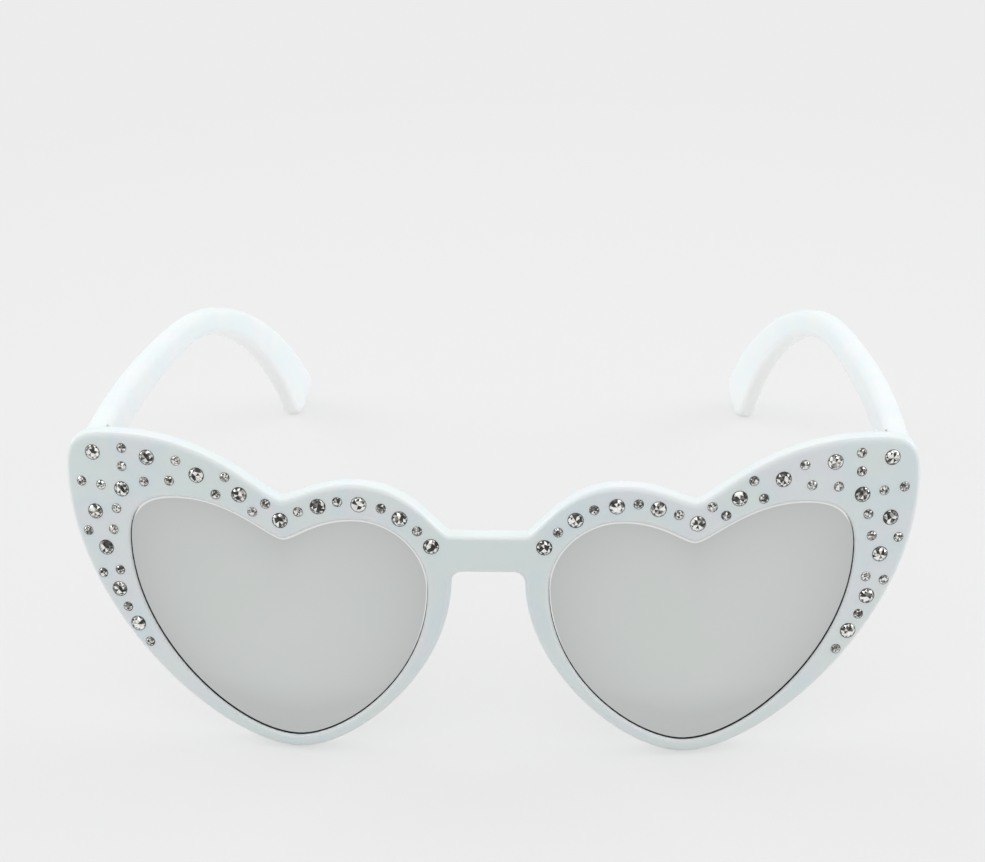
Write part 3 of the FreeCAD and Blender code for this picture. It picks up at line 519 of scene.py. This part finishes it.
def lens(side, hand, finish):
    """A crowned mirror lens with a painted highlight on a lip round its mirror and a rebate round
    its edge.

    Rings of the mirror, scaled towards the heart's centre, lie on the front's curve: each is as
    deep as the circle of WRAP_RADIUS there, less the crown. The lip starts at a ring inside the
    mirror's edge, further in where it faces up. The rebate's rings are the opening moved outward,
    and the back's are the last of them, scaled.
    """
    opening = heart_outline()
    outward = beside(opening, 1.0) - opening
    moved = np.array([MIRROR_SHIFT, MIRROR_RISE])
    lip_width = LIP_SIDE + (LIP_TOP - LIP_SIDE) * np.clip(outward[:, 1:], 0, 1)
    lip_start = beside(opening, MIRROR_EDGE - lip_width) + moved
    mirror_rings = crowned(beside(opening, MIRROR_EDGE) + moved, LENS_FRONT)
    mirror_rings.insert(-1, (lip_start, LENS_FRONT))
    rim = beside(opening, LENS_REACH)
    ground = LENS_FRONT + REBATE_DEPTH
    rebate_rings = [(beside(opening, REBATE_FOOT), ground), (rim, ground)]
    rings = mirror_rings + rebate_rings + crowned(rim, LENS_BACK)[::-1]
    across = np.stack([outline[:, 0] for outline, depth in rings])
    up = np.stack([outline[:, 1] for outline, depth in rings])
    behind = np.array([[depth] for outline, depth in rings])
    back = WRAP_RADIUS - np.sqrt((WRAP_RADIUS - behind) ** 2 - across ** 2)
    piece = closed_piece(f"{side}_mirror_lens", stood(hand * across, back, up), finish)

    count = len(opening)
    # The share of the way to the edge, read by the material for its painted shade.
    edge_rings = np.ones(len(rings) - 2 * len(LENS_SHARES))
    spread = np.concatenate([LENS_SHARES, edge_rings, LENS_SHARES[::-1]])
    mark(piece, "spread", "POINT", spread.repeat(count))
    lip_band = slice((len(mirror_rings) - 2) * count, (len(mirror_rings) - 1) * count)
    middle_cap = (len(rings) - 1) * count
    # The rebate and back stay smoke grey plastic; on the rebate it is also painted shade for the
    # groove.
    flash = np.zeros(len(piece.data.polygons))
    flash[:lip_band.stop] = 1.0
    flash[middle_cap] = 1.0
    mark(piece, "flash", "FACE", flash)
    # Painted highlight on the lip ring, brighter where it faces outward and up.
    lip = np.zeros(len(flash))
    lip[lip_band] = np.clip(outward @ np.array(LIP_HIGHLIGHT_WAY) + LIP_HIGHLIGHT, 0, 1)
    mark(piece, "lip", "FACE", lip)
    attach(piece, "front")
    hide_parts(f"{side}_lens")


def heading(angle):
    """A way at an angle above level, and the way square to it, downward."""
    level, rise = math.cos(angle), math.sin(angle)
    return np.array([level, rise]), np.array([rise, -level])


def tangent_arc(start, way, end, share):
    """Points on the arc that leaves a point along a way and ends at another: its radius is the
    chord's square over twice the chord's reach to the side."""
    across = np.array([-way[1], way[0]])
    chord = end - start
    radius = chord @ chord / (2 * chord @ across)
    turn = 2 * math.atan2(chord @ across, chord @ way) * share[:, None]
    return start + way * radius * np.sin(turn) + across * radius * (1 - np.cos(turn))


def toe_in(back):
    """Middle and half thickness of the temple in plan: straight beside the hinge, then two arcs."""
    start = ROOT_BACK + TOE_RUN
    turn = math.asin((ARM_RUN + BEND_RADIUS) / TOE_RADIUS)
    end = np.array([OUTER_SIDE - TOE_RADIUS * (1 - math.cos(turn)), TOE_RADIUS * math.sin(turn)])
    end = end - TIP_THICKNESS * np.array([math.cos(turn), math.sin(turn)])
    inner_radius = ((INNER_SIDE - end[0]) ** 2 + end[1] ** 2) / (2 * (INNER_SIDE - end[0]))
    run = np.maximum(back - start, 0.0)
    outer = OUTER_SIDE - TOE_RADIUS + np.sqrt(TOE_RADIUS ** 2 - run ** 2)
    inner = INNER_SIDE - inner_radius + np.sqrt(inner_radius ** 2 - run ** 2)
    return (outer + inner) / 2, (outer - inner) / 2


def round_off(radius, distance):
    """How far a quarter round draws in at a distance from the end."""
    left = np.clip(radius - distance, 0.0, radius)
    return radius - np.sqrt(radius ** 2 - left ** 2)


def temple_edges():
    """Points of the temple's top and low edge, back and up, and how far each is from the tip.

    Both edges run straight to the bend and then follow an arc that leaves the run smoothly. The
    distance is measured along the bend, and is the bend's whole length on the run before it.
    """
    way, down = heading(ARM_RISE)
    end_down = heading(ARM_RISE - BEND_ANGLE)[1]
    top_root = np.array([ROOT_BACK, ROOT_UP + ROOT_HEIGHT / 2])
    low_root = np.array([ROOT_BACK, ROOT_UP - ROOT_HEIGHT / 2])
    top_bend = top_root + way * ARM_RUN
    low_bend = top_bend + down * WAIST_HEIGHT
    top_tip = top_bend + (down - end_down) * BEND_RADIUS
    low_tip = top_tip + end_down * TIP_HEIGHT
    low_way = (low_bend - low_root) / np.linalg.norm(low_bend - low_root)
    seat_share = (SEAT_END - ROOT_BACK) / (ARM_RUN * math.cos(ARM_RISE))
    arm = np.concatenate([np.linspace(0, seat_share, SEAT_STEPS),
                          np.linspace(seat_share + SEAT_STEP, 1, ARM_STEPS)])
    length = BEND_RADIUS * BEND_ANGLE
    tip_turn = np.linspace(0, math.pi / 2, TIP_STEPS)[1:]
    to_end = np.concatenate([np.linspace(length, TIP_CORNER, BEND_STEPS)[1:],
                             TIP_CORNER * (1 - np.sin(tip_turn))])
    bend = 1 - to_end / length
    top = np.concatenate([top_root + (top_bend - top_root) * arm[:, None],
                          tangent_arc(top_bend, way, top_tip, bend)])
    low = np.concatenate([low_root + (low_bend - low_root) * arm[:, None],
                          tangent_arc(low_bend, low_way, low_tip, bend)])
    return top, low, np.concatenate([np.full(len(arm), length), to_end])


def temple(side, hand, finish):
    """A temple with round edges: a rounded rectangle carried from the hinge to the tip.

    Each section stands between a point of the top edge and one of the low edge at the same share of
    their straight runs or arcs. Its middle and its thickness follow the plan, and its ends lean
    half as much as the plan asks, so that the blade twists a little as it bends in. Near the tip
    its sides draw in by quarter rounds. Beside the hinge leaf its inner side is cut back to the
    seat's floor. The attribute "under" is painted light that pales the temple, growing towards the
    low edge.
    """
    top, low, to_end = temple_edges()
    middle, rise = (top + low) / 2, top - low
    tall = np.linalg.norm(rise, axis=1)
    rise = rise / tall[:, None]
    soft = round_off(TIP_ROUND, to_end)
    half_height = (tall / 2 - round_off(TIP_CORNER, to_end) - soft)[:, None]
    half_width = (toe_in(middle[:, 0])[1] - soft)[:, None]
    radius = np.minimum(EDGE_ROUND, ROUND_MOST * np.minimum(half_height, half_width))
    quarter = np.linspace(0, math.pi / 2, EDGE_STEPS)
    angle = (quarter + np.arange(4)[:, None] * math.pi / 2).ravel()
    outer = np.repeat([1, -1, -1, 1], EDGE_STEPS)
    upper = np.repeat([1, 1, -1, -1], EDGE_STEPS)
    out = outer * (half_width - radius) + radius * np.cos(angle)
    over = upper * (half_height - radius) + radius * np.sin(angle)
    back = middle[:, :1] + rise[:, :1] * over
    up = middle[:, 1:] + rise[:, 1:] * over
    across = toe_in((middle[:, :1] + back) / 2)[0] + out
    across[:SEAT_STEPS] = np.maximum(across[:SEAT_STEPS], SEAT_FLOOR)
    piece = closed_piece(f"{side}_temple_arm", stood(hand * across, back, up), finish)
    # Painted light: the temple is painted paler than the front, and paler still towards its low
    # edge.
    under = np.clip(UNDER_LIGHT_START - UNDER_LIGHT_SLOPE * over / half_height, UNDER_LIGHT_LEAST, 1)
    mark(piece, "under", "POINT", under)
    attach(piece, f"{side}_temple_arm")
    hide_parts(f"{side}_temple")


def around(reach, height, count, turn):
    """Corners of a regular ring: reach times the cosine and sine of evenly spaced angles."""
    angle = (np.arange(count) + turn) * 2 * math.pi / count
    return np.stack([reach * np.cos(angle), reach * np.sin(angle), np.full(count, height)], axis=1)


def brilliant():
    """A flat-backed brilliant of girdle radius 1 and height 1, as corners and triangles.

    Rings of corners rise from the girdle to the table: two on the girdle with a corner for each
    half fold, the star corners with one for each fold, and the table's corners half a fold on. Last
    come the middles of the table and of the back. Triangles join each ring to the next.
    """
    slope = (GIRDLE_REACH - STAR_REACH) / (GIRDLE_REACH - TABLE_REACH)
    star_height = STAR_LIFT * (slope * (1 - GIRDLE_LIFT) + GIRDLE_LIFT)
    rings = [
        around(1.0, 0.0, 2 * FOLDS, 0.0),
        around(GIRDLE_REACH, GIRDLE_LIFT, 2 * FOLDS, 0.0),
        around(STAR_REACH, star_height, FOLDS, 0.0),
        around(TABLE_REACH, 1.0, FOLDS, 0.5),
        np.array([[0.0, 0.0, 1.0], [0.0, 0.0, 0.0]]),
    ]
    ends = np.cumsum([len(ring) for ring in rings])
    low, edge, star, table, middles = np.split(np.arange(ends[-1]), ends[:-1])
    low_next, edge_next, star_next = (np.roll(ring, -1) for ring in (low, edge, star))
    table_before = np.roll(table, 1)
    here, between, after = edge[::2], edge[1::2], np.roll(edge[::2], -1)
    top, back = middles[0].repeat(FOLDS), middles[1].repeat(2 * FOLDS)
    faces = [
        (back, low_next, low),
        (low, low_next, edge_next), (low, edge_next, edge),
        (here, between, star), (between, after, star_next),
        (between, table, star), (between, star_next, table),
        (star, table, table_before),
        (top, table_before, table),
    ]
    return np.concatenate(rings), np.concatenate([np.stack(row, axis=1) for row in faces])


def mesh_points(node):
    """The vertices of a CAD node as rows."""
    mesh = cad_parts[node].data
    points = np.empty(len(mesh.vertices) * 3)
    mesh.vertices.foreach_get("co", points)
    return points.reshape(-1, 3)


def stone_frames(node, count):
    """Place, axes, radius and height of each stone in a CAD node, read from its solids.

    A stone is a flat disc, so the direction it spreads least in is its axis. The other two axes
    point across and down.
    """
    points = mesh_points(node).reshape(count, -1, 3)
    middle = (points.min(axis=1) + points.max(axis=1)) / 2
    spread = points - points.mean(axis=1, keepdims=True)
    turns = np.linalg.eigh(np.einsum("sni,snj->sij", spread, spread))[1]
    axis = turns[:, :, 0]
    axis = axis * -np.sign(axis[:, 1:2])
    across = np.cross(axis, np.array([0.0, 0.0, 1.0]))
    across = across / np.linalg.norm(across, axis=1, keepdims=True)
    down = np.cross(axis, across)
    along = np.einsum("sni,si->sn", points - middle[:, None], axis)
    out = np.linalg.norm(points - middle[:, None] - along[..., None] * axis[:, None], axis=2)
    foot = middle + along.min(axis=1)[:, None] * axis
    return foot, np.stack([across, down, axis], axis=1), out.max(axis=1), np.ptp(along, axis=1)


def cut_stones(node, count, fall, contrast, draw, finish):
    """Brilliants where a CAD node's stones are, each turned and sparkling its own way.

    A facet's painted reflection grows brighter by fall towards the foot of the stone, as painted
    light, plus an uneven share of its own within contrast, and the girdle stays dark as painted
    shade round the stone.
    """
    foot, axes, radius, height = stone_frames(node, count)
    corners, faces = brilliant()
    turn = draw.uniform(0, 2 * math.pi / FOLDS, count)
    cos, sin = np.cos(turn), np.sin(turn)
    x = np.outer(cos, corners[:, 0]) - np.outer(sin, corners[:, 1])
    y = np.outer(sin, corners[:, 0]) + np.outer(cos, corners[:, 1])
    z = np.tile(corners[:, 2], (count, 1))
    sized = np.stack([x * radius[:, None], y * radius[:, None], z * height[:, None]], axis=2)
    points = foot[:, None] + np.einsum("snk,ski->sni", sized, axes)
    all_faces = faces + np.arange(count)[:, None, None] * len(corners)
    middles = sized[:, faces].mean(axis=2) / radius[:, None, None]
    # Painted reflections and painted light: each facet's tone, brighter towards the foot; the
    # girdle is painted shade.
    lean = middles @ np.array(SPARKLE_WAY)
    pale = draw.uniform(*STONE_RANGE, (count, 1))
    own = draw.uniform(-contrast, contrast, lean.shape)
    sparkle = FACET_SPARKLE + pale + lean * fall + own
    sparkle[:, :GIRDLE_FACES] = GIRDLE_SHADE + pale
    name = node.replace("crystals", "stones")
    stones = new_piece(name, points.reshape(-1, 3), all_faces.reshape(-1, 3).tolist(), finish)
    mark(stones, "sparkle", "FACE", np.clip(sparkle, 0, 1))
    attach(stones, "front")
    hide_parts(node)


def seen(s):
    """1 where the camera, a reflection or a transmitted ray looks, 0 for light on the object."""
    names = ("Is Camera Ray", "Is Glossy Ray", "Is Transmission Ray")
    camera_ray, glossy, through = (s.node("ShaderNodeLightPath", out=name) for name in names)
    return (camera_ray + glossy + through).clamped()


def floor():
    """A wide sheet of pale paper under the glasses, seen as plain grey further from them."""
    made, s = material("studio_paper")
    paper = s.node("ShaderNodeBsdfPrincipled", {}, {
        "Base Color": PAPER, "Roughness": 0.9, "Specular IOR Level": 0.1})
    plain = s.node("ShaderNodeEmission", {}, {"Color": STUDIO_GREY, "Strength": 1.0})
    place = s.node("ShaderNodeTexCoord", out="Object")
    away = s.node("ShaderNodeVectorMath", {"operation": "LENGTH"}, {0: place}, "Value")
    far = ((away - SHADOW_NEAR) / (SHADOW_FAR - SHADOW_NEAR)).clamped()
    share = PLAIN_SHARE + (1.0 - PLAIN_SHARE) * far
    s.surface(s.node("ShaderNodeMixShader", {}, {0: seen(s) * share, 1: paper, 2: plain}))
    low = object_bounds()[0].z
    ways = ((-1, -1), (1, -1), (1, 1), (-1, 1))
    corners = [(x * FLOOR_REACH, y * FLOOR_REACH, low) for x, y in ways]
    sheet = new_piece("studio_floor", corners, [(0, 1, 2, 3)], made)


def studio_world():
    """Even soft light, and plain studio grey wherever the camera or a reflection sees the world."""
    world = bpy.data.worlds.new("studio")
    bpy.context.scene.world = world
    s = Shader(world)
    light = s.node("ShaderNodeBackground", {}, {"Color": WORLD_LIGHT, "Strength": WORLD_STRENGTH})
    backdrop = s.node("ShaderNodeBackground", {}, {"Color": STUDIO_GREY, "Strength": 1.0})
    both = s.node("ShaderNodeMixShader", {}, {0: seen(s), 1: light, 2: backdrop})
    s.node("ShaderNodeOutputWorld", {}, {"Surface": both})


def soft_lamp(name, place, aim, width, height, watts):
    light = bpy.data.lights.new(name, "AREA")
    light.shape = "RECTANGLE"
    light.size = width
    light.size_y = height
    light.energy = watts
    lamp = bpy.data.objects.new(name, light)
    turn = (Vector(aim) - Vector(place)).to_track_quat("-Z", "Y")
    lamp.matrix_world = Matrix.Translation(place) @ turn.to_matrix().to_4x4()
    bpy.context.scene.collection.objects.link(lamp)


def camera():
    data = bpy.data.cameras.new("camera")
    data.sensor_width = CAMERA_SENSOR
    data.lens = CAMERA_LENS
    data.clip_start = CAMERA_NEAR
    data.clip_end = CAMERA_FAR
    eye = bpy.data.objects.new("camera", data)
    turn = (Vector(CAMERA_AIM) - Vector(CAMERA_PLACE)).to_track_quat("-Z", "Y")
    roll = Matrix.Rotation(math.radians(CAMERA_ROLL), 4, "Z")
    eye.matrix_world = Matrix.Translation(CAMERA_PLACE) @ turn.to_matrix().to_4x4() @ roll
    bpy.context.scene.collection.objects.link(eye)
    bpy.context.scene.camera = eye


pearl = pearl_plastic()
hinge_steel = steel("hinge_steel", HINGE_STEEL, HINGE_ROUGHNESS)
screw_steel = steel("screw_steel", SCREW_STEEL, SCREW_ROUGHNESS)
mirror = mirror_lens()
crystal = cut_crystal()

dress(["front_frame"], pearl)
for side, hand in HANDS.items():
    leaves = [f"{side}_front_hinge_leaf", f"{side}_temple_hinge_leaf"]
    screws = [f"{side}_hinge_screw", f"{side}_front_leaf_screws", f"{side}_temple_leaf_screws"]
    dress(leaves, hinge_steel)
    dress(screws, screw_steel)
    lens(side, hand, mirror)
    temple(side, hand, pearl)

draw = np.random.default_rng(SPARKLE_SEED)
for side in HANDS:
    for group, (count, fall, contrast) in CRYSTAL_GROUPS.items():
        cut_stones(f"{side}_{group}_crystals", count, fall, contrast, draw, crystal)

floor()
studio_world()
for lamp in LAMPS:
    soft_lamp(*lamp)
camera()
bpy.context.scene.view_settings.view_transform = "Standard"
